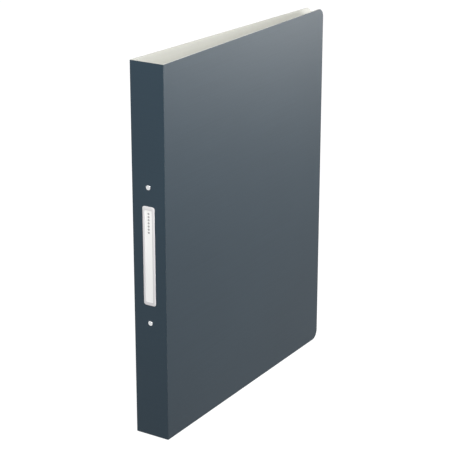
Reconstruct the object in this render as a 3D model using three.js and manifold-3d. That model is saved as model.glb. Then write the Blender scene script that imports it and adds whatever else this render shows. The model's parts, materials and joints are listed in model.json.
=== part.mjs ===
// A4 ring binder, standing closed on its lower edges
// Millimetres. X runs across the spine from the back cover to the front cover, Y from the spine to the
// fore edge, and Z up. The origin is the middle of the spine's foot, halfway through the sheet.

import * as THREE from 'three';
import { mergeVertices } from 'three/addons/utils/BufferGeometryUtils.js';
import Module from 'manifold-3d';

const wasm = await Module();
wasm.setup();

// Cover sheet: one piece of polypropylene with two pressed creases
const BINDER_HEIGHT = 314;
const COVER_WIDTH = 250;
const SPINE_WIDTH = 31.5;
const SHEET_THICKNESS = 1.2;
const FORE_CORNER_RADIUS = 8;
const FRONT_FOLD_DEG = 89.4;
const BACK_FOLD_DEG = 86.2;
const CREASE_SLOT = 0.3;

// Rivets that hold the ring mechanism to the spine
const RIVET_SPACING = 114.3;
const RIVET_HEAD_RADIUS = 2.1;
const RIVET_HEAD_HEIGHT = 0.8;
const RIVET_SHANK_RADIUS = 1.7;
const RIVET_CLINCH_RADIUS = 2.9;
const RIVET_CLINCH_HEIGHT = 0.7;
const RIVET_BORE_RADIUS = 0.9;
const RIVET_BORE_DEPTH = 2;
const RIVET_HOLE_CLEARANCE = 0.2;

// Sprung arch plate of the ring mechanism
const PLATE_END_LAND = 7.85;
const PLATE_WIDTH = 15;
const PLATE_HEIGHT = 4.5;
const PLATE_SIDE_HEIGHT = 2.6;
const PLATE_GAUGE = 0.7;
const PLATE_LIP = 0.9;
const PLATE_END_RADIUS = 4;

// Carrier rails that toggle under the plate
const RAIL_END_GAP = 3;
const RAIL_GAUGE = 0.9;
const RAIL_RUNNING_GAP = 0.3;
const RAIL_MEETING_GAP = 0.3;
const RAIL_RIVET_GAP = 0.9;
const TOGGLE_TRAVEL_DEG = 10;

// Half rings, riveted into the rails
const RING_PITCH = 80;
const RING_BORE = 18;
const RING_WIRE = 2.5;
const RING_FOOT_X = 4.4;
const RING_NOTCH_GAP = 0.6;
const SHANK_RADIUS = 0.8;
const SHANK_HEAD_RADIUS = 1.25;
const SHANK_HEAD_HEIGHT = 0.3;
const TONGUE_LENGTH = 1.2;
const TONGUE_WIDTH = 0.9;
const TONGUE_DEPTH = 1.25;

// Label on the spine, a moulded frame with a card in it
const LABEL_LENGTH = 83.3;
const LABEL_WIDTH = 11.5;
const LABEL_DEPTH = 0.8;
const LABEL_RADIUS = 2;
const LABEL_SIDE_BORDER = 2.2;
const LABEL_END_BORDER = 3;
const LABEL_REBATE = 0.8;
const LABEL_WINDOW_RADIUS = 0.5;
const LABEL_CROWN_WIDTH = 1.5;
const LABEL_CROWN_DROP = 0.45;
const CARD_THICKNESS = 0.3;

// Clearances between pieces that touch on the real binder
const SEAT_GAP = 0.1;
const FIT_GAP = 0.25;
const TIP_GAP = 0.25;

const OVERCUT = 2;
const ROUND_SIDES = 20;
const ARC_STEPS = 7;
const CROWN_STEPS = 3;
const WIRE_SIDES = 14;
const RING_STEPS = 26;

// Places that more than one piece is built from
const OUTER_Y = -SHEET_THICKNESS / 2;
const INNER_Y = SHEET_THICKNESS / 2;
const MIDDLE_Z = BINDER_HEIGHT / 2;
const SPINE_HALF = SPINE_WIDTH / 2;
const FRONT_FOLD = THREE.MathUtils.degToRad(FRONT_FOLD_DEG);
const BACK_FOLD = THREE.MathUtils.degToRad(BACK_FOLD_DEG);
const REST_TILT = THREE.MathUtils.degToRad(TOGGLE_TRAVEL_DEG / 2);
const PLATE_LENGTH = RIVET_SPACING + 2 * PLATE_END_LAND;
const RAIL_LENGTH = PLATE_LENGTH - 2 * RAIL_END_GAP;
const PLATE_BASE_Y = INNER_Y + SEAT_GAP;
const PLATE_CROWN_Y = PLATE_BASE_Y + PLATE_HEIGHT;
const PLATE_INNER_HALF = PLATE_WIDTH / 2 - PLATE_GAUGE;
const LIP_TOP_Y = PLATE_BASE_Y + PLATE_GAUGE;
const PIVOT_X = PLATE_INNER_HALF - RAIL_RUNNING_GAP;
const PIVOT_Y = LIP_TOP_Y + RAIL_RUNNING_GAP + RAIL_GAUGE / 2;
const RING_RADIUS = (RING_BORE + RING_WIRE) / 2;
const RING_FOOT_Y = PIVOT_Y + RAIL_GAUGE / 2 - (PIVOT_X - RING_FOOT_X) * Math.tan(REST_TILT);
const RING_CENTRE_Y = RING_FOOT_Y + Math.sqrt(RING_RADIUS ** 2 - RING_FOOT_X ** 2);

// Closed solids from surface geometry, and back
function solidFrom(geometry) {
  geometry.deleteAttribute('normal');
  geometry.deleteAttribute('uv');
  const merged = mergeVertices(geometry);
  return new wasm.Manifold(new wasm.Mesh({
    numProp: 3,
    vertProperties: new Float32Array(merged.attributes.position.array),
    triVerts: new Uint32Array(merged.index.array),
  }));
}

function geometryFrom(solid) {
  const mesh = solid.getMesh();
  const geometry = new THREE.BufferGeometry();
  geometry.setAttribute('position', new THREE.BufferAttribute(mesh.vertProperties, 3));
  geometry.setIndex(new THREE.BufferAttribute(mesh.triVerts, 1));
  geometry.computeVertexNormals();
  return geometry;
}

function outline(points) {
  return new THREE.Shape(points.map(([x, y]) => new THREE.Vector2(x, y)));
}

function roundedRectangle(left, low, width, height, radius) {
  const right = left + width;
  const high = low + height;
  const shape = new THREE.Shape();
  shape.moveTo(left + radius, low);
  shape.lineTo(right - radius, low);
  shape.absarc(right - radius, low + radius, radius, -Math.PI / 2, 0);
  shape.lineTo(right, high - radius);
  shape.absarc(right - radius, high - radius, radius, 0, Math.PI / 2);
  shape.lineTo(left + radius, high);
  shape.absarc(left + radius, high - radius, radius, Math.PI / 2, Math.PI);
  shape.lineTo(left, low + radius);
  shape.absarc(left + radius, low + radius, radius, Math.PI, Math.PI * 1.5);
  return shape;
}

// A plan outline in X and Y, pulled up along Z
function pulledUp(shape, lowZ, highZ) {
  const options = { depth: highZ - lowZ, bevelEnabled: false, curveSegments: ARC_STEPS };
  const geometry = new THREE.ExtrudeGeometry(shape, options);
  return solidFrom(geometry.translate(0, 0, lowZ));
}

// An upright outline in X and Z, given its thickness along Y
function thickened(shape, lowY, highY) {
  const options = { depth: highY - lowY, bevelEnabled: false, curveSegments: ARC_STEPS };
  const geometry = new THREE.ExtrudeGeometry(shape, options);
  return solidFrom(geometry.rotateX(Math.PI / 2).translate(0, highY, 0));
}

function boxBetween(low, high) {
  const size = high.map((value, axis) => value - low[axis]);
  const geometry = new THREE.BoxGeometry(...size);
  return solidFrom(geometry.translate(...low.map((value, axis) => value + size[axis] / 2)));
}

// A round pin along Y
function pin(radius, x, z, lowY, highY) {
  const geometry = new THREE.CylinderGeometry(radius, radius, highY - lowY, ROUND_SIDES);
  return solidFrom(geometry.translate(x, (lowY + highY) / 2, z));
}

// Cover sheet panels, mitred at the creases
function mitre(fold) {
  const outer = CREASE_SLOT / 2 / Math.sin(fold / 2);
  return { outer, inner: outer + SHEET_THICKNESS / Math.tan(fold / 2) };
}

function makeSpinePanel() {
  const front = mitre(FRONT_FOLD);
  const back = mitre(BACK_FOLD);
  const section = outline([
    [-SPINE_HALF + back.outer, OUTER_Y],
    [SPINE_HALF - front.outer, OUTER_Y],
    [SPINE_HALF - front.inner, INNER_Y],
    [-SPINE_HALF + back.inner, INNER_Y],
  ]);
  let panel = pulledUp(section, 0, BINDER_HEIGHT);
  for (const z of rivetHeights()) {
    const radius = RIVET_SHANK_RADIUS + RIVET_HOLE_CLEARANCE;
    panel = panel.subtract(pin(radius, 0, z, OUTER_Y - OVERCUT, INNER_Y + OVERCUT));
  }
  return geometryFrom(panel);
}

// A cover lies along X from its crease, with its outer face on Y = 0 and its inside towards inwards
function makeCoverPanel(fold, inwards) {
  const edge = mitre(fold);
  const section = outline([
    [edge.outer, 0],
    [COVER_WIDTH, 0],
    [COVER_WIDTH, inwards * SHEET_THICKNESS],
    [edge.inner, inwards * SHEET_THICKNESS],
  ]);
  const reach = COVER_WIDTH + OVERCUT + FORE_CORNER_RADIUS;
  const face = roundedRectangle(COVER_WIDTH - reach, 0, reach, BINDER_HEIGHT, FORE_CORNER_RADIUS);
  const depth = SHEET_THICKNESS + OVERCUT;
  const trimmed = pulledUp(section, 0, BINDER_HEIGHT).intersect(thickened(face, -depth, depth));
  return geometryFrom(trimmed);
}

function rivetHeights() {
  return [MIDDLE_Z + RIVET_SPACING / 2, MIDDLE_Z - RIVET_SPACING / 2];
}

function ringHeights() {
  return [MIDDLE_Z + RING_PITCH / 2, MIDDLE_Z - RING_PITCH / 2];
}

// Rivet: domed head outside the spine, shank through spine and plate, hollow end clinched on the plate
function makeRivet(z) {
  const headFace = OUTER_Y - SEAT_GAP;
  const headTop = headFace - RIVET_HEAD_HEIGHT;
  const clinchFace = PLATE_CROWN_Y + SEAT_GAP;
  const clinchTop = clinchFace + RIVET_CLINCH_HEIGHT;
  const profile = [[0, headTop]];
  const domeSteps = 4;
  for (let step = 1; step <= domeSteps; step += 1) {
    const turn = (step / domeSteps) * (Math.PI / 2);
    profile.push([
      RIVET_HEAD_RADIUS * Math.sin(turn),
      headFace - RIVET_HEAD_HEIGHT * Math.cos(turn),
    ]);
  }
  profile.push([RIVET_SHANK_RADIUS, headFace]);
  profile.push([RIVET_SHANK_RADIUS, clinchFace]);
  profile.push([RIVET_CLINCH_RADIUS, clinchFace]);
  profile.push([RIVET_BORE_RADIUS, clinchTop]);
  profile.push([RIVET_BORE_RADIUS, clinchTop - RIVET_BORE_DEPTH]);
  profile.push([0, clinchTop - RIVET_BORE_DEPTH]);
  const points = profile.map(([radius, y]) => new THREE.Vector2(radius, y));
  const geometry = new THREE.LatheGeometry(points, ROUND_SIDES).translate(0, 0, z);
  return geometryFrom(solidFrom(geometry));
}

// Arch plate: an arched crown, two short sides and a lip turned in under each rail
function makeMechanismPlate() {
  const half = PLATE_WIDTH / 2;
  const rise = PLATE_HEIGHT - PLATE_SIDE_HEIGHT;
  const radius = (half ** 2 + rise ** 2) / (2 * rise);
  const arcY = PLATE_CROWN_Y - radius;
  const outerTurn = Math.asin(half / radius);
  const innerTurn = Math.asin(PLATE_INNER_HALF / (radius - PLATE_GAUGE));
  const lipEnd = PLATE_INNER_HALF - PLATE_LIP;
  const up = Math.PI / 2;
  const section = new THREE.Shape();
  section.moveTo(half, PLATE_BASE_Y);
  section.lineTo(half, PLATE_BASE_Y + PLATE_SIDE_HEIGHT);
  section.absarc(0, arcY, radius, up - outerTurn, up + outerTurn);
  section.lineTo(-half, PLATE_BASE_Y);
  section.lineTo(-lipEnd, PLATE_BASE_Y);
  section.lineTo(-lipEnd, LIP_TOP_Y);
  section.lineTo(-PLATE_INNER_HALF, LIP_TOP_Y);
  section.absarc(0, arcY, radius - PLATE_GAUGE, up + innerTurn, up - innerTurn, true);
  section.lineTo(PLATE_INNER_HALF, LIP_TOP_Y);
  section.lineTo(lipEnd, LIP_TOP_Y);
  section.lineTo(lipEnd, PLATE_BASE_Y);
  const lowZ = MIDDLE_Z - PLATE_LENGTH / 2;
  const face = roundedRectangle(-half, lowZ, PLATE_WIDTH, PLATE_LENGTH, PLATE_END_RADIUS);
  let plate = pulledUp(section, lowZ, lowZ + PLATE_LENGTH);
  plate = plate.intersect(thickened(face, INNER_Y - OVERCUT, PLATE_CROWN_Y + OVERCUT));
  for (const z of rivetHeights()) {
    const holeRadius = RIVET_SHANK_RADIUS + RIVET_HOLE_CLEARANCE;
    plate = plate.subtract(pin(holeRadius, 0, z, INNER_Y, PLATE_CROWN_Y + OVERCUT));
  }
  const notchInside = RING_FOOT_X - RING_WIRE / 2 - RING_NOTCH_GAP;
  const notchHalf = RING_WIRE / 2 + RING_NOTCH_GAP;
  for (const z of ringHeights()) {
    for (const [lowX, highX] of [[notchInside, half + OVERCUT], [-half - OVERCUT, -notchInside]]) {
      plate = plate.subtract(boxBetween(
        [lowX, LIP_TOP_Y, z - notchHalf],
        [highX, PLATE_CROWN_Y + OVERCUT, z + notchHalf],
      ));
    }
  }
  return geometryFrom(plate);
}

// The front rail and its half rings are built at X > 0, the back ones are the same at X < 0
function tiltToRest(solid) {
  const toPivot = solid.translate([-PIVOT_X, -PIVOT_Y, 0]);
  return toPivot.rotate([0, 0, TOGGLE_TRAVEL_DEG / 2]).translate([PIVOT_X, PIVOT_Y, 0]);
}

function onSide(solid, side) {
  return geometryFrom(side > 0 ? solid : solid.mirror([1, 0, 0]));
}

function makeCarrierRail(side) {
  const lowZ = MIDDLE_Z - RAIL_LENGTH / 2;
  const section = outline([
    [RAIL_MEETING_GAP / 2, PIVOT_Y - RAIL_GAUGE / 2],
    [PIVOT_X, PIVOT_Y - RAIL_GAUGE / 2],
    [PIVOT_X, PIVOT_Y + RAIL_GAUGE / 2],
    [RAIL_MEETING_GAP / 2, PIVOT_Y + RAIL_GAUGE / 2],
  ]);
  let rail = pulledUp(section, lowZ, lowZ + RAIL_LENGTH);
  for (const z of rivetHeights()) {
    const radius = RIVET_SHANK_RADIUS + RAIL_RIVET_GAP;
    rail = rail.subtract(pin(radius, 0, z, INNER_Y, PLATE_CROWN_Y));
  }
  for (const z of ringHeights()) {
    rail = rail.subtract(pin(SHANK_RADIUS + FIT_GAP, RING_FOOT_X, z, INNER_Y, PLATE_CROWN_Y));
  }
  return onSide(tiltToRest(rail), side);
}

class RingArc extends THREE.Curve {
  getPoint(t) {
    const turn = Math.PI / 2 - t * Math.PI;
    const x = RING_RADIUS * Math.cos(turn);
    return new THREE.Vector3(x, RING_CENTRE_Y + RING_RADIUS * Math.sin(turn), 0);
  }
}

function wireSection() {
  const shape = new THREE.Shape();
  shape.absarc(0, 0, RING_WIRE / 2, 0, Math.PI * 2);
  return new THREE.Shape(shape.getPoints(WIRE_SIDES / 2).slice(0, -1));
}

// Half ring: bent wire above the rail, a shank through it and a swaged head below
function makeHalfRing(side, z) {
  const options = { steps: RING_STEPS, bevelEnabled: false, extrudePath: new RingArc() };
  let ring = solidFrom(new THREE.ExtrudeGeometry(wireSection(), options));
  const far = RING_RADIUS + RING_WIRE;
  const railTop = PIVOT_Y + RAIL_GAUGE / 2;
  const railFoot = PIVOT_Y - RAIL_GAUGE / 2;
  const below = tiltToRest(boxBetween(
    [-far, PIVOT_Y - far, -far],
    [far + PIVOT_X, railTop + FIT_GAP, far],
  ));
  const beyondTip = boxBetween([-far, INNER_Y, -far], [TIP_GAP / 2, RING_CENTRE_Y + far, far]);
  ring = ring.subtract(below).subtract(beyondTip);
  const headLow = railFoot - FIT_GAP - SHANK_HEAD_HEIGHT;
  const shank = pin(SHANK_RADIUS, RING_FOOT_X, 0, headLow, railTop + RING_WIRE / 2);
  const head = pin(SHANK_HEAD_RADIUS, RING_FOOT_X, 0, headLow, railFoot - FIT_GAP);
  ring = ring.add(tiltToRest(shank.add(head)));
  const tipY = RING_CENTRE_Y + RING_RADIUS;
  if (side > 0) {
    ring = ring.add(tongue(tipY, 0, TIP_GAP));
  } else {
    ring = ring.subtract(tongue(tipY, TIP_GAP, 0).mirror([1, 0, 0]));
  }
  return onSide(ring.translate([0, 0, z]), side);
}

// The front tip's tongue reaches past the middle into a slot in the back tip
function tongue(tipY, allowance, root) {
  const halfWidth = TONGUE_WIDTH / 2 + allowance;
  const halfDepth = allowance > 0 ? RING_WIRE : TONGUE_DEPTH / 2;
  return boxBetween(
    [-TONGUE_LENGTH - allowance, tipY - halfDepth, -halfWidth],
    [TIP_GAP + root, tipY + halfDepth, halfWidth],
  );
}

// Label: the frame holds the card's edges in a rebate against the spine, and falls away to its rim
function makeLabelFrame() {
  const faceY = OUTER_Y - SEAT_GAP;
  const window = labelOpening(0);
  const pocket = labelOpening(LABEL_REBATE);
  const pocketDepth = CARD_THICKNESS + 2 * SEAT_GAP;
  const behind = boxBetween(
    [-LABEL_WIDTH, faceY, 0],
    [LABEL_WIDTH, faceY + LABEL_DEPTH + OVERCUT, BINDER_HEIGHT],
  );
  let frame = crownedBlock(faceY).subtract(behind);
  frame = frame.subtract(thickened(window, faceY - LABEL_DEPTH - OVERCUT, faceY + OVERCUT));
  frame = frame.subtract(thickened(pocket, faceY - pocketDepth, faceY + OVERCUT));
  return geometryFrom(frame);
}

// A block crowned in front and behind, with its middle in the face that lies on the spine
function crownedBlock(faceY) {
  const lowZ = MIDDLE_Z - LABEL_LENGTH / 2;
  const face = roundedRectangle(-LABEL_WIDTH / 2, lowZ, LABEL_WIDTH, LABEL_LENGTH, LABEL_RADIUS);
  const straight = 2 * (LABEL_DEPTH - LABEL_CROWN_DROP);
  const options = {
    depth: straight,
    curveSegments: ARC_STEPS,
    bevelThickness: LABEL_CROWN_DROP,
    bevelSize: LABEL_CROWN_WIDTH,
    bevelOffset: -LABEL_CROWN_WIDTH,
    bevelSegments: CROWN_STEPS,
  };
  const geometry = new THREE.ExtrudeGeometry(face, options);
  return solidFrom(geometry.rotateX(Math.PI / 2).translate(0, faceY + straight / 2, 0));
}

function labelOpening(margin) {
  const width = LABEL_WIDTH - 2 * (LABEL_SIDE_BORDER - margin);
  const length = LABEL_LENGTH - 2 * (LABEL_END_BORDER - margin);
  return roundedRectangle(-width / 2, MIDDLE_Z - length / 2, width, length, LABEL_WINDOW_RADIUS);
}

function makeLabelCard() {
  const faceY = OUTER_Y - SEAT_GAP;
  return geometryFrom(thickened(labelOpening(LABEL_REBATE - SEAT_GAP), faceY - CARD_THICKNESS, faceY));
}

// Finishes
const sheetColour = new THREE.MeshStandardMaterial({ color: 0x52606b, roughness: 0.5, metalness: 0 });
const steelColour = new THREE.MeshStandardMaterial({ color: 0xc8ccd0, roughness: 0.25, metalness: 1 });
const frameColour = new THREE.MeshStandardMaterial({ color: 0xc9ccd0, roughness: 0.5, metalness: 0 });
const cardColour = new THREE.MeshStandardMaterial({ color: 0xf1f0ee, roughness: 0.9, metalness: 0 });

const binder = new THREE.Group();

function addPiece(name, geometry, material) {
  const mesh = new THREE.Mesh(geometry, material.clone());
  mesh.name = name;
  binder.add(mesh);
  return mesh;
}

// The cover sheet's three panels
addPiece('spine_panel', makeSpinePanel(), sheetColour);
const frontCover = addPiece('front_cover_panel', makeCoverPanel(FRONT_FOLD, 1), sheetColour);
frontCover.position.set(SPINE_HALF, OUTER_Y, 0);
frontCover.rotation.z = Math.PI - FRONT_FOLD;
const backCover = addPiece('back_cover_panel', makeCoverPanel(BACK_FOLD, -1), sheetColour);
backCover.position.set(-SPINE_HALF, OUTER_Y, 0);
backCover.rotation.z = BACK_FOLD;

// The spine's label and rivets
addPiece('label_frame', makeLabelFrame(), frameColour);
addPiece('label_card', makeLabelCard(), cardColour);
rivetHeights().forEach((z, place) => {
  addPiece(['upper_rivet', 'lower_rivet'][place], makeRivet(z), steelColour);
});

// The ring mechanism
addPiece('mechanism_plate', makeMechanismPlate(), steelColour);
for (const [sideName, side] of [['front', 1], ['back', -1]]) {
  addPiece(`${sideName}_carrier_rail`, makeCarrierRail(side), steelColour);
  ringHeights().forEach((z, place) => {
    const level = ['upper', 'lower'][place];
    addPiece(`${level}_${sideName}_half_ring`, makeHalfRing(side, z), steelColour);
  });
}

export default binder;
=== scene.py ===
import json
import math

import bmesh
import bpy
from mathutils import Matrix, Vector


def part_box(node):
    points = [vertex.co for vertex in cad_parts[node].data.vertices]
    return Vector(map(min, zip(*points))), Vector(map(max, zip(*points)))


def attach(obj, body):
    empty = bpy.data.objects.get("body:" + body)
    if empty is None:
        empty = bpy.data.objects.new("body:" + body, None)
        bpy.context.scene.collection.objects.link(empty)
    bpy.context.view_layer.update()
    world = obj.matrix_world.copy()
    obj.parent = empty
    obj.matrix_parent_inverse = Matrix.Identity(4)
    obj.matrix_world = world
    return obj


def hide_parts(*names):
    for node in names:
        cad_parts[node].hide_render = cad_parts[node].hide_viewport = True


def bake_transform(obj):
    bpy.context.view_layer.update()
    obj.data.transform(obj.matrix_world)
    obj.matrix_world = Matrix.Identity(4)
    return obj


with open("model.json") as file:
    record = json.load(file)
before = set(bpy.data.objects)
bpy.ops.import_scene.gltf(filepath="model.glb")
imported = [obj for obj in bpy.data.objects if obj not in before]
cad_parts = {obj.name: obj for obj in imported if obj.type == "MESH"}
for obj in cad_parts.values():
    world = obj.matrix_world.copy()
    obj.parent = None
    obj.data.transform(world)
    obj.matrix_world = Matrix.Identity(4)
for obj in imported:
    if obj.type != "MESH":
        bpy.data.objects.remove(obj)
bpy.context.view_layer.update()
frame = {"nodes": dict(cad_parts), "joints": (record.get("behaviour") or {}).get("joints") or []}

# Camera
# A tall view from the spine's right and from above, as in the photograph, with a long lens.
# The photograph's upright edges are parallel, so this view is the nearest one without a lens shift.
CAMERA_PLACE = Vector((0.682, -0.953, 0.595))
CAMERA_TURN = math.radians(-32.65)
CAMERA_PITCH = math.radians(19.42)
CAMERA_LENS_MM = 126
CAMERA_SENSOR_MM = 36

looking = Vector((
    math.sin(CAMERA_TURN) * math.cos(CAMERA_PITCH),
    math.cos(CAMERA_TURN) * math.cos(CAMERA_PITCH),
    -math.sin(CAMERA_PITCH),
))
camera_data = bpy.data.cameras.new("camera")
camera_data.lens = CAMERA_LENS_MM
camera_data.sensor_width = CAMERA_SENSOR_MM
camera = bpy.data.objects.new("camera", camera_data)
camera.location = CAMERA_PLACE
camera.rotation_euler = looking.to_track_quat("-Z", "Y").to_euler()
bpy.context.scene.collection.objects.link(camera)
bpy.context.scene.camera = camera

# Studio
# A white room: a pale floor that shows white where it is unshaded, and an even white sky.
# Two narrow lamps aimed at the covers' top give the fall of light down spine and cover: one before
# the spine's corner, and one past the fore edge for the sheen. A wide low one lifts the back cover.
PLAIN_WHITE = (1, 1, 1, 1)
FLOOR_HALF_SIDE = 6
FLOOR_CORNERS = ((-1, -1), (1, -1), (1, 1), (-1, 1))
FLOOR_DROP = 0.0003
FLOOR_COLOUR = (0.2, 0.2, 0.2, 1)
FLOOR_LIFT = 0.93
SKY_LIGHT = 0.54
TOP_TARGET = Vector((0.01, 0.1, 0.38))
KEY_PLACE = Vector((0.68, -0.7, 0.8))
KEY_SIDE = 0.5
KEY_WATTS = 2.4
KEY_SPREAD = math.radians(60)
SHEEN_PLACE = Vector((0.62, 1.0, 0.3))
SHEEN_SIDE = 0.3
SHEEN_WATTS = 0.68
SHEEN_SPREAD = math.radians(50)
BACK_TARGET = Vector((0, 0.17, 0.2))
FAR_PLACE = Vector((-1.4, 0.2, 0.3))
FAR_SIDE = 0.5
FAR_WATTS = 5
FAR_SPREAD = math.radians(180)


def new_material(name):
    """A material with an empty node tree."""
    material = bpy.data.materials.new(name)
    material.use_nodes = True
    material.node_tree.nodes.clear()
    return material


def add_node(tree, kind, **settings):
    """A new node of a tree, with its settings, such as the operation of a Math node."""
    node = tree.nodes.new(kind)
    for setting, value in settings.items():
        setattr(node, setting, value)
    return node


def seen_directly(tree):
    """1 for the camera, a mirror or a clear piece, and 0 for light that lands on the object."""
    rays = add_node(tree, "ShaderNodeLightPath")
    mirror = add_node(tree, "ShaderNodeMath", operation="MAXIMUM")
    clear = add_node(tree, "ShaderNodeMath", operation="MAXIMUM")
    tree.links.new(rays.outputs["Is Camera Ray"], mirror.inputs[0])
    tree.links.new(rays.outputs["Is Glossy Ray"], mirror.inputs[1])
    tree.links.new(mirror.outputs[0], clear.inputs[0])
    tree.links.new(rays.outputs["Is Transmission Ray"], clear.inputs[1])
    return clear.outputs[0]


floor_white = new_material("studio_floor")
tree = floor_white.node_tree
matt = add_node(tree, "ShaderNodeBsdfDiffuse")
matt.inputs["Color"].default_value = FLOOR_COLOUR
lift = add_node(tree, "ShaderNodeEmission")
lift.inputs["Strength"].default_value = FLOOR_LIFT
lifted = add_node(tree, "ShaderNodeAddShader")
choice = add_node(tree, "ShaderNodeMixShader")
floor_out = add_node(tree, "ShaderNodeOutputMaterial")
tree.links.new(matt.outputs[0], lifted.inputs[0])
tree.links.new(lift.outputs[0], lifted.inputs[1])
tree.links.new(seen_directly(tree), choice.inputs[0])
tree.links.new(matt.outputs[0], choice.inputs[1])
tree.links.new(lifted.outputs[0], choice.inputs[2])
tree.links.new(choice.outputs[0], floor_out.inputs["Surface"])

floor_mesh = bpy.data.meshes.new("studio_floor")
floor_mesh.from_pydata(
    [(x * FLOOR_HALF_SIDE, y * FLOOR_HALF_SIDE, -FLOOR_DROP) for x, y in FLOOR_CORNERS],
    [],
    [tuple(range(len(FLOOR_CORNERS)))],
)
floor_mesh.materials.append(floor_white)
studio_floor = bpy.data.objects.new("studio_floor", floor_mesh)
bpy.context.scene.collection.objects.link(studio_floor)

sky = bpy.data.worlds.new("studio_sky")
sky.use_nodes = True
tree = sky.node_tree
tree.nodes.clear()
sky_light = add_node(tree, "ShaderNodeBackground")
sky_light.inputs["Color"].default_value = PLAIN_WHITE
sky_light.inputs["Strength"].default_value = SKY_LIGHT
sky_white = add_node(tree, "ShaderNodeBackground")
sky_white.inputs["Color"].default_value = PLAIN_WHITE
choice = add_node(tree, "ShaderNodeMixShader")
sky_out = add_node(tree, "ShaderNodeOutputWorld")
tree.links.new(seen_directly(tree), choice.inputs[0])
tree.links.new(sky_light.outputs[0], choice.inputs[1])
tree.links.new(sky_white.outputs[0], choice.inputs[2])
tree.links.new(choice.outputs[0], sky_out.inputs["Surface"])
bpy.context.scene.world = sky
bpy.context.scene.view_settings.view_transform = "Standard"


def add_lamp(name, place, target, side, watts, spread):
    """A square lamp that faces its target and shines within its angle of spread."""
    lamp_data = bpy.data.lights.new(name, "AREA")
    lamp_data.size = side
    lamp_data.energy = watts
    lamp_data.spread = spread
    lamp = bpy.data.objects.new(name, lamp_data)
    lamp.location = place
    lamp.rotation_euler = (target - place).to_track_quat("-Z", "Y").to_euler()
    bpy.context.scene.collection.objects.link(lamp)


add_lamp("key_lamp", KEY_PLACE, TOP_TARGET, KEY_SIDE, KEY_WATTS, KEY_SPREAD)
add_lamp("sheen_lamp", SHEEN_PLACE, TOP_TARGET, SHEEN_SIDE, SHEEN_WATTS, SHEEN_SPREAD)
add_lamp("far_lamp", FAR_PLACE, BACK_TARGET, FAR_SIDE, FAR_WATTS, FAR_SPREAD)

# Cover sheet
# One sheet of satin polypropylene, pale right through with a blue-grey skin on its outside.
# It is die-cut, pressed with two V-shaped creases and folded at them round the spine.
OUTSIDE_DEEP = (0.0165, 0.032, 0.046, 1)
OUTSIDE_PALE = (0.0230, 0.042, 0.059, 1)
OUTSIDE_ROUGHNESS = (0.42, 0.5)
OUTSIDE_STREAKS = 0.9
INSIDE_DEEP = (0.52, 0.52, 0.475, 1)
INSIDE_PALE = (0.59, 0.59, 0.545, 1)
INSIDE_ROUGHNESS = (0.5, 0.6)
INSIDE_STREAKS = 0.5
SHEET_CLOUDS = 0.8
SHEET_GRAIN = 0.0007
SHEET_GRAIN_DEPTH = 0.00003
SHEET_GRAIN_STRENGTH = 0.5
GRAIN_DETAIL = 2
STREAKS_PER_METRE = (9, 9, 900)
STREAK_DETAIL = 3
CLOUDS_PER_METRE = 11
CLOUD_DETAIL = 2
MIDDLE_TONE = 0.5
SHEET_EDGE_RADIUS = 0.00018
EDGE_STEPS = 2
SHARP_ANGLE = math.radians(25)
PLANAR_ANGLE = math.radians(1)
MERGE_DISTANCE = 1e-6
FULL_AREA_WEIGHT = 100
SKIN_FACING = 0.7
ROUND_PROFILE = 0.5
SATIN_SPECULAR = 0.25
SATIN_INDEX = 1.49
WEB_THICKNESS = 0.0003
WEB_RECESS = 0.00008
WEB_REACH = 0.0006
WEB_STEPS = 8


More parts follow.
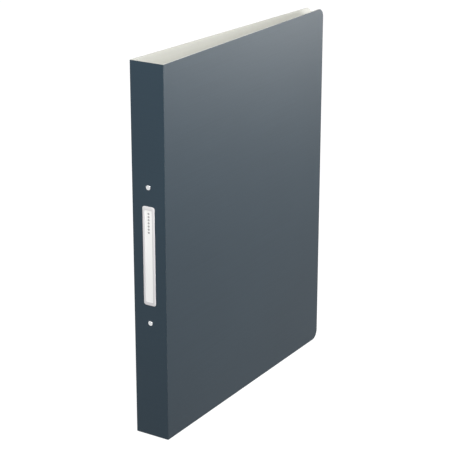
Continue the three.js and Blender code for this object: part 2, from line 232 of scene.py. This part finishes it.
def satin_grain_group():
    """Moulding marks of a plastic sheet: a fine grain, drawn-out streaks and wide, faint clouds."""
    group = bpy.data.node_groups.new("satin_grain", "ShaderNodeTree")
    sockets = group.interface
    sockets.new_socket("Vector", in_out="INPUT", socket_type="NodeSocketVector")
    for name in ("Grain Size", "Streaks", "Clouds"):
        sockets.new_socket(name, in_out="INPUT", socket_type="NodeSocketFloat")
    for name in ("Tone", "Grain"):
        sockets.new_socket(name, in_out="OUTPUT", socket_type="NodeSocketFloat")
    inside = add_node(group, "NodeGroupInput")
    outside = add_node(group, "NodeGroupOutput")

    per_metre = add_node(group, "ShaderNodeMath", operation="DIVIDE")
    per_metre.inputs[0].default_value = 1
    group.links.new(inside.outputs["Grain Size"], per_metre.inputs[1])
    grain = add_node(group, "ShaderNodeTexNoise")
    grain.inputs["Detail"].default_value = GRAIN_DETAIL
    group.links.new(inside.outputs["Vector"], grain.inputs["Vector"])
    group.links.new(per_metre.outputs[0], grain.inputs["Scale"])
    group.links.new(grain.outputs["Fac"], outside.inputs["Grain"])

    drawn_out = add_node(group, "ShaderNodeVectorMath", operation="MULTIPLY")
    drawn_out.inputs[1].default_value = STREAKS_PER_METRE
    streak = add_node(group, "ShaderNodeTexNoise")
    streak.inputs["Scale"].default_value = 1
    streak.inputs["Detail"].default_value = STREAK_DETAIL
    group.links.new(inside.outputs["Vector"], drawn_out.inputs[0])
    group.links.new(drawn_out.outputs[0], streak.inputs["Vector"])
    cloud = add_node(group, "ShaderNodeTexNoise")
    cloud.inputs["Scale"].default_value = CLOUDS_PER_METRE
    cloud.inputs["Detail"].default_value = CLOUD_DETAIL
    group.links.new(inside.outputs["Vector"], cloud.inputs["Vector"])

    shares = []
    for texture, amount in ((streak, "Streaks"), (cloud, "Clouds")):
        centred = add_node(group, "ShaderNodeMath", operation="SUBTRACT")
        centred.inputs[1].default_value = MIDDLE_TONE
        share = add_node(group, "ShaderNodeMath", operation="MULTIPLY")
        group.links.new(texture.outputs["Fac"], centred.inputs[0])
        group.links.new(centred.outputs[0], share.inputs[0])
        group.links.new(inside.outputs[amount], share.inputs[1])
        shares.append(share)
    both = add_node(group, "ShaderNodeMath", operation="ADD")
    tone = add_node(group, "ShaderNodeMath", operation="ADD", use_clamp=True)
    tone.inputs[1].default_value = MIDDLE_TONE
    group.links.new(shares[0].outputs[0], both.inputs[0])
    group.links.new(shares[1].outputs[0], both.inputs[1])
    group.links.new(both.outputs[0], tone.inputs[0])
    group.links.new(tone.outputs[0], outside.inputs["Tone"])
    return group


satin_grain = satin_grain_group()


def satin_plastic(name, deep, pale, roughness, streaks, clouds):
    """A moulded or rolled plastic, between a deep and a pale tone, with a fine satin grain."""
    material = new_material(name)
    tree = material.node_tree
    place = add_node(tree, "ShaderNodeTexCoord")
    marks = add_node(tree, "ShaderNodeGroup", node_tree=satin_grain)
    marks.inputs["Grain Size"].default_value = SHEET_GRAIN
    marks.inputs["Streaks"].default_value = streaks
    marks.inputs["Clouds"].default_value = clouds
    colour = add_node(tree, "ShaderNodeMix", data_type="RGBA")
    colour.inputs["A"].default_value = deep
    colour.inputs["B"].default_value = pale
    rough = add_node(tree, "ShaderNodeMapRange")
    rough.inputs["To Min"].default_value, rough.inputs["To Max"].default_value = roughness
    bump = add_node(tree, "ShaderNodeBump")
    bump.inputs["Strength"].default_value = SHEET_GRAIN_STRENGTH
    bump.inputs["Distance"].default_value = SHEET_GRAIN_DEPTH
    surface = add_node(tree, "ShaderNodeBsdfPrincipled")
    surface.inputs["IOR"].default_value = SATIN_INDEX
    surface.inputs["Specular IOR Level"].default_value = SATIN_SPECULAR
    out = add_node(tree, "ShaderNodeOutputMaterial")
    tree.links.new(place.outputs["Object"], marks.inputs["Vector"])
    tree.links.new(marks.outputs["Tone"], colour.inputs["Factor"])
    tree.links.new(marks.outputs["Grain"], rough.inputs["Value"])
    tree.links.new(marks.outputs["Grain"], bump.inputs["Height"])
    tree.links.new(colour.outputs["Result"], surface.inputs["Base Color"])
    tree.links.new(rough.outputs["Result"], surface.inputs["Roughness"])
    tree.links.new(bump.outputs["Normal"], surface.inputs["Normal"])
    tree.links.new(surface.outputs[0], out.inputs["Surface"])
    return material


blue_grey_skin = satin_plastic(
    "blue_grey_skin", OUTSIDE_DEEP, OUTSIDE_PALE, OUTSIDE_ROUGHNESS, OUTSIDE_STREAKS, SHEET_CLOUDS
)
pale_sheet = satin_plastic(
    "pale_polypropylene", INSIDE_DEEP, INSIDE_PALE, INSIDE_ROUGHNESS, INSIDE_STREAKS, SHEET_CLOUDS
)


def new_piece(name, mesh, materials):
    """A finished mesh as an object, with the material slot that it takes its finish from."""
    for material in materials:
        mesh.materials.append(material)
    piece = bpy.data.objects.new(name, mesh)
    bpy.context.scene.collection.objects.link(piece)
    return piece


def shade_by_area(piece):
    """Broad flat faces keep their own normal, so that only the rounded edges beside them shade."""
    even = piece.modifiers.new("shade_by_area", "WEIGHTED_NORMAL")
    even.mode = "FACE_AREA"
    even.weight = FULL_AREA_WEIGHT
    even.keep_sharp = True


def mark_sharp_edges(shape):
    """Smooth shading everywhere but across the edges that are meant to be seen."""
    for face in shape.faces:
        face.smooth = True
    for edge in shape.edges:
        edge.smooth = edge.is_manifold and edge.calc_face_angle() < SHARP_ANGLE


def eased_copy(node, edge_radius, steps=EDGE_STEPS):
    """The CAD solid's shape as one clean mesh, with its hard edges rounded."""
    shape = bmesh.new()
    shape.from_mesh(frame["nodes"][node].data)
    bmesh.ops.remove_doubles(shape, verts=shape.verts, dist=MERGE_DISTANCE)
    bmesh.ops.dissolve_limit(
        shape, angle_limit=PLANAR_ANGLE, verts=shape.verts, edges=shape.edges
    )
    hard = [e for e in shape.edges if e.is_manifold and e.calc_face_angle() > SHARP_ANGLE]
    bmesh.ops.bevel(
        shape, geom=hard, offset=edge_radius, segments=steps, profile=ROUND_PROFILE,
        affect="EDGES", clamp_overlap=True,
    )
    mark_sharp_edges(shape)
    return shape


def finished_mesh(shape, name):
    """The shape as a named mesh; the working copy is freed."""
    mesh = bpy.data.meshes.new(name)
    shape.to_mesh(mesh)
    shape.free()
    return mesh


joints = {joint["name"]: joint for joint in frame["joints"]}
spine_low, spine_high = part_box("spine_panel")


def skin_outside(shape, outwards):
    """Faces that look outwards get the blue-grey skin. Cut edges and the inside stay pale."""
    for face in shape.faces:
        face.material_index = 1 if face.normal.dot(outwards) > SKIN_FACING else 0


def add_panel(node, body, outwards):
    """One flat panel of the sheet, from one crease or edge to the next."""
    shape = eased_copy(node, SHEET_EDGE_RADIUS)
    skin_outside(shape, outwards)
    mesh = finished_mesh(shape, node)
    panel = new_piece(f"{node}_sheet", mesh, (pale_sheet, blue_grey_skin))
    shade_by_area(panel)
    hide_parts(node)
    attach(panel, body)


add_panel("spine_panel", "spine", Vector((0, -1, 0)))
add_panel("front_cover_panel", "front_cover", Vector((1, 0, 0)))
add_panel("back_cover_panel", "back_cover", Vector((-1, 0, 0)))


def add_crease_web(name, joint, side):
    """The thin web left at the bottom of a pressed crease, made where it lies with the covers shut
    and not attached to any body.
    """
    corner = Vector(joints[joint]["pos_m"])
    ring = [(-WEB_REACH, 0)]
    for step in range(WEB_STEPS + 1):
        turn = math.pi / 2 * step / WEB_STEPS
        ring.append((
            -WEB_THICKNESS * (1 - math.sin(turn)),
            WEB_THICKNESS * (1 - math.cos(turn)),
        ))
    ring += [
        (0, WEB_REACH),
        (-WEB_THICKNESS, WEB_REACH),
        (-WEB_THICKNESS, WEB_THICKNESS),
        (-WEB_REACH, WEB_THICKNESS),
    ]
    shape = bmesh.new()
    ends = []
    for z in (SHEET_EDGE_RADIUS, spine_high.z - SHEET_EDGE_RADIUS):
        ends.append([
            shape.verts.new((
                corner.x + side * (x - WEB_RECESS), corner.y + y + WEB_RECESS, z,
            ))
            for x, y in ring
        ])
    for start in range(len(ring)):
        after = (start + 1) % len(ring)
        shape.faces.new((ends[0][start], ends[0][after], ends[1][after], ends[1][start]))
    shape.faces.new(ends[0][::-1])
    shape.faces.new(ends[1])
    bmesh.ops.recalc_face_normals(shape, faces=shape.faces)
    skin_outside(shape, Vector((side, -1, 0)))
    mark_sharp_edges(shape)
    mesh = finished_mesh(shape, name)
    web = new_piece(name, mesh, (pale_sheet, blue_grey_skin))
    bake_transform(web)


add_crease_web("front_crease_web", "front_crease", 1)
add_crease_web("back_crease_web", "back_crease", -1)

# Spine label
# A moulded frame of pale satin plastic is stuck to the spine, and a white card slides in behind it.
# The card carries only a plain column of small grey index dots near its top.
FRAME_DEEP = (0.62, 0.61, 0.62, 1)
FRAME_PALE = (0.7, 0.69, 0.7, 1)
FRAME_ROUGHNESS = (0.4, 0.5)
FRAME_STREAKS = 0.2
FRAME_CLOUDS = 0.6
FRAME_EDGE_RADIUS = 0.0002
CARD_WHITE = (0.9, 0.9, 0.89, 1)
CARD_SHADE = (0.86, 0.86, 0.85, 1)
CARD_ROUGHNESS = 0.85
CARD_SPECULAR = 0.25
CARD_EDGE_RADIUS = 0.00004
CARD_EDGE_STEPS = 1
DOT_GREY = (0.34, 0.34, 0.34, 1)
DOT_COUNT = 7
DOT_PITCH = 0.0026
DOT_RADIUS = 0.0009
DOT_TOP_MARGIN = 0.0037
FIBRE_SIZE = 0.0004
FIBRE_DETAIL = 3
FIBRE_DEPTH = 0.00002
FIBRE_STRENGTH = 0.3

label_plastic = satin_plastic(
    "pale_label_plastic", FRAME_DEEP, FRAME_PALE, FRAME_ROUGHNESS, FRAME_STREAKS, FRAME_CLOUDS
)
label_frame = new_piece(
    "label_bezel",
    finished_mesh(eased_copy("label_frame", FRAME_EDGE_RADIUS), "label_bezel"),
    (label_plastic,),
)
shade_by_area(label_frame)
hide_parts("label_frame")
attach(label_frame, "spine")

card_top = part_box("label_card")[1].z


def paper_card():
    """White card with a fibre grain, and round dots at equal steps down from its top margin."""
    material = new_material("white_card")
    tree = material.node_tree
    place = add_node(tree, "ShaderNodeTexCoord")
    fibre = add_node(tree, "ShaderNodeTexNoise")
    fibre.inputs["Scale"].default_value = 1 / FIBRE_SIZE
    fibre.inputs["Detail"].default_value = FIBRE_DETAIL
    paper = add_node(tree, "ShaderNodeMix", data_type="RGBA")
    paper.inputs["A"].default_value = CARD_SHADE
    paper.inputs["B"].default_value = CARD_WHITE
    apart = add_node(tree, "ShaderNodeSeparateXYZ")
    down = add_node(tree, "ShaderNodeMath", operation="SUBTRACT")
    down.inputs[0].default_value = card_top - DOT_TOP_MARGIN
    count = add_node(tree, "ShaderNodeMath", operation="DIVIDE")
    count.inputs[1].default_value = DOT_PITCH
    nearest = add_node(tree, "ShaderNodeMath", operation="ROUND")
    last = add_node(tree, "ShaderNodeClamp")
    last.inputs["Max"].default_value = DOT_COUNT - 1
    offset = add_node(tree, "ShaderNodeMath", operation="SUBTRACT")
    along = add_node(tree, "ShaderNodeMath", operation="MULTIPLY")
    along.inputs[1].default_value = DOT_PITCH
    both = add_node(tree, "ShaderNodeCombineXYZ")
    length = add_node(tree, "ShaderNodeVectorMath", operation="LENGTH")
    dot = add_node(tree, "ShaderNodeMath", operation="LESS_THAN")
    dot.inputs[1].default_value = DOT_RADIUS
    printed = add_node(tree, "ShaderNodeMix", data_type="RGBA")
    printed.inputs["B"].default_value = DOT_GREY
    bump = add_node(tree, "ShaderNodeBump")
    bump.inputs["Strength"].default_value = FIBRE_STRENGTH
    bump.inputs["Distance"].default_value = FIBRE_DEPTH
    surface = add_node(tree, "ShaderNodeBsdfPrincipled")
    surface.inputs["Roughness"].default_value = CARD_ROUGHNESS
    surface.inputs["Specular IOR Level"].default_value = CARD_SPECULAR
    out = add_node(tree, "ShaderNodeOutputMaterial")
    links = tree.links
    links.new(place.outputs["Object"], fibre.inputs["Vector"])
    links.new(fibre.outputs["Fac"], paper.inputs["Factor"])
    links.new(place.outputs["Object"], apart.inputs[0])
    links.new(apart.outputs["Z"], down.inputs[1])
    links.new(down.outputs[0], count.inputs[0])
    links.new(count.outputs[0], nearest.inputs[0])
    links.new(nearest.outputs[0], last.inputs["Value"])
    links.new(count.outputs[0], offset.inputs[0])
    links.new(last.outputs[0], offset.inputs[1])
    links.new(offset.outputs[0], along.inputs[0])
    links.new(apart.outputs["X"], both.inputs["X"])
    links.new(along.outputs[0], both.inputs["Y"])
    links.new(both.outputs[0], length.inputs[0])
    links.new(length.outputs["Value"], dot.inputs[0])
    links.new(dot.outputs[0], printed.inputs["Factor"])
    links.new(paper.outputs["Result"], printed.inputs["A"])
    links.new(printed.outputs["Result"], surface.inputs["Base Color"])
    links.new(fibre.outputs["Fac"], bump.inputs["Height"])
    links.new(bump.outputs["Normal"], surface.inputs["Normal"])
    links.new(surface.outputs[0], out.inputs["Surface"])
    return material


label_card = new_piece(
    "label_insert",
    finished_mesh(eased_copy("label_card", CARD_EDGE_RADIUS, CARD_EDGE_STEPS), "label_insert"),
    (paper_card(),),
)
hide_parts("label_card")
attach(label_card, "spine")

# Rivets
# Two nickel-plated tubular rivets hold the ring mechanism. The domed head is outside the spine,
# the shank passes through spine and plate, and the open end is rolled over on the plate's crown.
NICKEL_DEEP = (0.62, 0.63, 0.64, 1)
NICKEL_PALE = (0.76, 0.77, 0.78, 1)
NICKEL_ROUGHNESS = (0.16, 0.3)
PLATING_HAZE_SIZE = 0.006
PLATING_HAZE_DETAIL = 3
PLATING_GRAIN_SIZE = 0.0003
PLATING_GRAIN_DETAIL = 1
PLATING_GRAIN_DEPTH = 0.00001
PLATING_GRAIN_STRENGTH = 0.15
RIVET_HEAD_RADIUS = 0.0021
RIVET_HEAD_RIM = 0.00018
RIVET_SHANK_RADIUS = 0.0017
RIVET_CLINCH_RADIUS = 0.0029
RIVET_BORE_RADIUS = 0.0010
RIVET_BORE_DEPTH = 0.002
ROUND_STEPS = 48
ARC_STEPS = 10


def plating_group():
    """Thin bright plating: a patchy haze over the steel, and the steel's fine grain under it."""
    group = bpy.data.node_groups.new("bright_plating", "ShaderNodeTree")
    sockets = group.interface
    sockets.new_socket("Vector", in_out="INPUT", socket_type="NodeSocketVector")
    for name in ("Haze Size", "Grain Size"):
        sockets.new_socket(name, in_out="INPUT", socket_type="NodeSocketFloat")
    for name in ("Haze", "Grain"):
        sockets.new_socket(name, in_out="OUTPUT", socket_type="NodeSocketFloat")
    inside = add_node(group, "NodeGroupInput")
    outside = add_node(group, "NodeGroupOutput")
    for name, detail in (("Haze", PLATING_HAZE_DETAIL), ("Grain", PLATING_GRAIN_DETAIL)):
        per_metre = add_node(group, "ShaderNodeMath", operation="DIVIDE")
        per_metre.inputs[0].default_value = 1
        noise = add_node(group, "ShaderNodeTexNoise")
        noise.inputs["Detail"].default_value = detail
        group.links.new(inside.outputs[f"{name} Size"], per_metre.inputs[1])
        group.links.new(inside.outputs["Vector"], noise.inputs["Vector"])
        group.links.new(per_metre.outputs[0], noise.inputs["Scale"])
        group.links.new(noise.outputs["Fac"], outside.inputs[name])
    return group


bright_plating = plating_group()


def plated_steel(name, deep, pale, roughness):
    """Bright metal between a deep and a pale tone, rougher where the plating's haze is stronger."""
    material = new_material(name)
    tree = material.node_tree
    place = add_node(tree, "ShaderNodeTexCoord")
    plating = add_node(tree, "ShaderNodeGroup", node_tree=bright_plating)
    plating.inputs["Haze Size"].default_value = PLATING_HAZE_SIZE
    plating.inputs["Grain Size"].default_value = PLATING_GRAIN_SIZE
    colour = add_node(tree, "ShaderNodeMix", data_type="RGBA")
    colour.inputs["A"].default_value = deep
    colour.inputs["B"].default_value = pale
    rough = add_node(tree, "ShaderNodeMapRange")
    rough.inputs["To Min"].default_value, rough.inputs["To Max"].default_value = roughness
    bump = add_node(tree, "ShaderNodeBump")
    bump.inputs["Strength"].default_value = PLATING_GRAIN_STRENGTH
    bump.inputs["Distance"].default_value = PLATING_GRAIN_DEPTH
    surface = add_node(tree, "ShaderNodeBsdfPrincipled")
    surface.inputs["Metallic"].default_value = 1
    out = add_node(tree, "ShaderNodeOutputMaterial")
    tree.links.new(place.outputs["Object"], plating.inputs["Vector"])
    tree.links.new(plating.outputs["Haze"], colour.inputs["Factor"])
    tree.links.new(plating.outputs["Haze"], rough.inputs["Value"])
    tree.links.new(plating.outputs["Grain"], bump.inputs["Height"])
    tree.links.new(colour.outputs["Result"], surface.inputs["Base Color"])
    tree.links.new(rough.outputs["Result"], surface.inputs["Roughness"])
    tree.links.new(bump.outputs["Normal"], surface.inputs["Normal"])
    tree.links.new(surface.outputs[0], out.inputs["Surface"])
    return material


bright_nickel = plated_steel("bright_nickel", NICKEL_DEEP, NICKEL_PALE, NICKEL_ROUGHNESS)


def turned_shape(profile, z):
    """A closed round shape on an axis along Y, from radius and place on that axis."""
    shape = bmesh.new()
    turns = [2 * math.pi * step / ROUND_STEPS for step in range(ROUND_STEPS)]
    rings = []
    for radius, y in profile:
        rings.append([
            shape.verts.new((radius * math.cos(turn), y, z + radius * math.sin(turn)))
            for turn in (turns if radius > 0 else [0])
        ])
    for near, far in zip(rings, rings[1:]):
        for step in range(ROUND_STEPS):
            after = (step + 1) % ROUND_STEPS
            near_side = [near[step % len(near)], near[after % len(near)]]
            far_side = [far[after % len(far)], far[step % len(far)]]
            shape.faces.new(list(dict.fromkeys(near_side + far_side)))
    bmesh.ops.recalc_face_normals(shape, faces=shape.faces)
    mark_sharp_edges(shape)
    return shape


def rivet_profile(low, high, clinch_face):
    """From the crown of the domed head, along the shank, to the bottom of the open end."""
    head_face = spine_low.y
    profile = [(0, low)]
    dome = head_face - low - RIVET_HEAD_RIM
    for step in range(1, ARC_STEPS + 1):
        turn = math.pi / 2 * step / ARC_STEPS
        profile.append((RIVET_HEAD_RADIUS * math.sin(turn), low + dome * (1 - math.cos(turn))))
    profile.append((RIVET_HEAD_RADIUS, head_face))
    profile.append((RIVET_SHANK_RADIUS, head_face))
    profile.append((RIVET_SHANK_RADIUS, clinch_face))
    profile.append((RIVET_CLINCH_RADIUS, clinch_face))
    roll = (RIVET_CLINCH_RADIUS - RIVET_BORE_RADIUS) / 2
    for step in range(1, ARC_STEPS + 1):
        turn = math.pi * step / ARC_STEPS
        profile.append((
            RIVET_BORE_RADIUS + roll + roll * math.cos(turn),
            clinch_face + (high - clinch_face) * math.sin(turn),
        ))
    profile.append((RIVET_BORE_RADIUS, high - RIVET_BORE_DEPTH))
    profile.append((0, high - RIVET_BORE_DEPTH))
    return profile


plate_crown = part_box("mechanism_plate")[1].y
for level in ("upper", "lower"):
    low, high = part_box(f"{level}_rivet")
    shape = turned_shape(rivet_profile(low.y, high.y, plate_crown), (low.z + high.z) / 2)
    name = f"{level}_tubular_rivet"
    rivet = new_piece(name, finished_mesh(shape, name), (bright_nickel,))
    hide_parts(f"{level}_rivet")
    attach(rivet, "spine")

# Ring mechanism plate and rails
# The arch plate is pressed from sprung steel strip, with a lip turned in along each side. Two flat
# rails lie in those lips and meet under the crown. All have eased edges and are nickel plated.
PLATE_EDGE_RADIUS = 0.00015

steel_parts = (
    ("mechanism_plate", "sprung_arch_plate", "spine"),
    ("front_carrier_rail", "front_toggle_rail", "front_rings"),
    ("back_carrier_rail", "back_toggle_rail", "back_rings"),
)
for node, name, body in steel_parts:
    mesh = finished_mesh(eased_copy(node, PLATE_EDGE_RADIUS), name)
    part = new_piece(name, mesh, (bright_nickel,))
    shade_by_area(part)
    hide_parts(node)
    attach(part, body)

# Half rings
# Each is bent from round steel wire and bright plated. Its foot stands on its rail, a shank
# through the rail is swaged below, and the front tip's tongue fits a slot in the back tip.
RING_BORE = 0.018
RING_WIRE = 0.0025
TIP_GAP = 0.00025
TONGUE_LENGTH = 0.0012
TONGUE_WIDTH = 0.0009
SHANK_RADIUS = 0.0008
SHANK_HEAD_RADIUS = 0.00125
SHANK_HEAD_HEIGHT = 0.0003
SHANK_INSET = 0.0021
RAIL_TILT = math.radians(5)
RAIL_THICKNESS = 0.0009
RAIL_GAP = 0.00025
RAIL_CUTTER = 0.05
BEND_SWEEP = math.radians(160)
WIRE_STEPS = 28
BEND_STEPS = 72
RING_OUTER_RADIUS = RING_BORE / 2 + RING_WIRE
BEND_RADIUS = RING_OUTER_RADIUS - RING_WIRE / 2
RING_TOP_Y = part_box("upper_front_half_ring")[1].y


def half_ring_tree():
    """A half ring at X > 0, swept from its sizes; the back one is the same shape turned over."""
    tree = bpy.data.node_groups.new("half_ring", "GeometryNodeTree")
    sockets = tree.interface
    sockets.new_socket("Geometry", in_out="OUTPUT", socket_type="NodeSocketGeometry")
    for name in ("Bend Radius", "Wire Radius", "Tip Start"):
        sockets.new_socket(name, in_out="INPUT", socket_type="NodeSocketFloat")
    for name in ("Centre", "Rail Place", "Rail Turn", "Tongue Size", "Tongue Place", "Side"):
        sockets.new_socket(name, in_out="INPUT", socket_type="NodeSocketVector")
    sockets.new_socket("Has Tongue", in_out="INPUT", socket_type="NodeSocketBool")
    sockets.new_socket("Material", in_out="INPUT", socket_type="NodeSocketMaterial")
    given = add_node(tree, "NodeGroupInput")
    out = add_node(tree, "NodeGroupOutput")
    links = tree.links

    def moved(geometry, place=None, turn=None, scale=None):
        """The geometry moved, turned or scaled by plain values or by sockets."""
        node = add_node(tree, "GeometryNodeTransform")
        links.new(geometry, node.inputs["Geometry"])
        for source, socket in ((place, "Translation"), (turn, "Rotation"), (scale, "Scale")):
            if isinstance(source, bpy.types.NodeSocket):
                links.new(source, node.inputs[socket])
            elif source is not None:
                node.inputs[socket].default_value = source
        return node.outputs["Geometry"]

    def combined(operation, first, second):
        """Both meshes as one, or the first less the second."""
        node = add_node(tree, "GeometryNodeMeshBoolean", operation=operation, solver="EXACT")
        if operation == "DIFFERENCE":
            links.new(first, node.inputs["Mesh 1"])
        else:
            links.new(first, node.inputs["Mesh 2"])
        links.new(second, node.inputs["Mesh 2"])
        return node.outputs["Mesh"]

    def pin(radius, low, high):
        """A pin through the rail, along the rail's own Y."""
        node = add_node(tree, "GeometryNodeMeshCylinder")
        node.inputs["Vertices"].default_value = WIRE_STEPS
        node.inputs["Radius"].default_value = radius
        node.inputs["Depth"].default_value = high - low
        upright = moved(node.outputs["Mesh"], (0, (low + high) / 2, 0), (math.pi / 2, 0, 0))
        return moved(upright, (-SHANK_INSET, 0, 0))

    bend = add_node(tree, "GeometryNodeCurveArc", mode="RADIUS")
    bend.inputs["Resolution"].default_value = BEND_STEPS
    bend.inputs["Sweep Angle"].default_value = -BEND_SWEEP
    links.new(given.outputs["Bend Radius"], bend.inputs["Radius"])
    links.new(given.outputs["Tip Start"], bend.inputs["Start Angle"])
    section = add_node(tree, "GeometryNodeCurvePrimitiveCircle", mode="RADIUS")
    section.inputs["Resolution"].default_value = WIRE_STEPS
    links.new(given.outputs["Wire Radius"], section.inputs["Radius"])
    wire = add_node(tree, "GeometryNodeCurveToMesh")
    wire.inputs["Fill Caps"].default_value = True
    links.new(bend.outputs["Curve"], wire.inputs["Curve"])
    links.new(section.outputs["Curve"], wire.inputs["Profile Curve"])
    ring = moved(wire.outputs["Mesh"], given.outputs["Centre"])

    below = add_node(tree, "GeometryNodeMeshCube")
    below.inputs["Size"].default_value = (RAIL_CUTTER, RAIL_CUTTER, RAIL_CUTTER)
    cutter_drop = RAIL_THICKNESS / 2 + RAIL_GAP - RAIL_CUTTER / 2
    lowered = moved(below.outputs["Mesh"], (0, cutter_drop, 0))
    lowered = moved(lowered, given.outputs["Rail Place"], given.outputs["Rail Turn"])
    ring = combined("DIFFERENCE", ring, lowered)

    foot = -RAIL_THICKNESS / 2 - RAIL_GAP
    shank = pin(SHANK_RADIUS, foot - SHANK_HEAD_HEIGHT / 2, RAIL_THICKNESS / 2 + RING_WIRE / 2)
    head = pin(SHANK_HEAD_RADIUS, foot - SHANK_HEAD_HEIGHT, foot)
    riveted = combined("UNION", shank, head)
    riveted = moved(riveted, given.outputs["Rail Place"], given.outputs["Rail Turn"])
    ring = combined("UNION", ring, riveted)

    tongue = add_node(tree, "GeometryNodeMeshCube")
    links.new(given.outputs["Tongue Size"], tongue.inputs["Size"])
    tongue = moved(tongue.outputs["Mesh"], given.outputs["Tongue Place"])
    tip = add_node(tree, "GeometryNodeSwitch", input_type="GEOMETRY")
    links.new(given.outputs["Has Tongue"], tip.inputs["Switch"])
    links.new(combined("DIFFERENCE", ring, tongue), tip.inputs["False"])
    links.new(combined("UNION", ring, tongue), tip.inputs["True"])

    turned_over = moved(tip.outputs["Output"], scale=given.outputs["Side"])
    real = add_node(tree, "GeometryNodeRealizeInstances")
    plated = add_node(tree, "GeometryNodeSetMaterial")
    links.new(turned_over, real.inputs["Geometry"])
    links.new(real.outputs["Geometry"], plated.inputs["Geometry"])
    links.new(given.outputs["Material"], plated.inputs["Material"])
    links.new(plated.outputs["Geometry"], out.inputs["Geometry"])
    return tree


half_ring = half_ring_tree()
half_ring_inputs = {
    item.name: item.identifier
    for item in half_ring.interface.items_tree
    if item.item_type == "SOCKET" and item.in_out == "INPUT"
}


def grown_mesh(tree, inputs, values, name):
    """What a node tree makes from these values, as a plain mesh."""
    carrier = bpy.data.objects.new(name, bpy.data.meshes.new(name))
    bpy.context.scene.collection.objects.link(carrier)
    grower = carrier.modifiers.new(name, "NODES")
    grower.node_group = tree
    for label, value in values.items():
        grower[inputs[label]] = value
    bpy.context.view_layer.update()
    seen = carrier.evaluated_get(bpy.context.evaluated_depsgraph_get())
    mesh = bpy.data.meshes.new_from_object(seen)
    bpy.data.objects.remove(carrier)
    return mesh


for side, body, sign in (("front", "front_rings", 1), ("back", "back_rings", -1)):
    pivot = Vector(joints[f"{side}_ring_toggle"]["pos_m"])
    for level in ("upper", "lower"):
        low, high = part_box(f"{level}_{side}_half_ring")
        centre = Vector((0, RING_TOP_Y - RING_OUTER_RADIUS, (low.z + high.z) / 2))
        slack = 0 if sign > 0 else TIP_GAP
        tongue_depth = RING_WIRE / 2 if sign > 0 else 2 * RING_WIRE
        tongue_from = -TONGUE_LENGTH if sign > 0 else 0
        tongue_to = RING_WIRE / 2 if sign > 0 else TONGUE_LENGTH + TIP_GAP
        half_ring_values = {
            "Bend Radius": BEND_RADIUS,
            "Wire Radius": RING_WIRE / 2,
            "Tip Start": math.pi / 2 - TIP_GAP / 2 / BEND_RADIUS,
            "Centre": centre,
            "Rail Place": (abs(pivot.x), pivot.y, centre.z),
            "Rail Turn": (0, 0, RAIL_TILT),
            "Tongue Size": (tongue_to - tongue_from, tongue_depth, TONGUE_WIDTH + 2 * slack),
            "Tongue Place": (
                (tongue_from + tongue_to) / 2, centre.y + BEND_RADIUS, centre.z,
            ),
            "Side": (sign, 1, 1),
            "Has Tongue": sign > 0,
            "Material": bright_nickel,
        }
        name = f"{level}_{side}_ring_wire"
        shape = bmesh.new()
        shape.from_mesh(grown_mesh(half_ring, half_ring_inputs, half_ring_values, name))
        bmesh.ops.remove_doubles(shape, verts=shape.verts, dist=MERGE_DISTANCE)
        bmesh.ops.recalc_face_normals(shape, faces=shape.faces)
        mark_sharp_edges(shape)
        ring = new_piece(name, finished_mesh(shape, name), (bright_nickel,))
        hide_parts(f"{level}_{side}_half_ring")
        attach(ring, body)
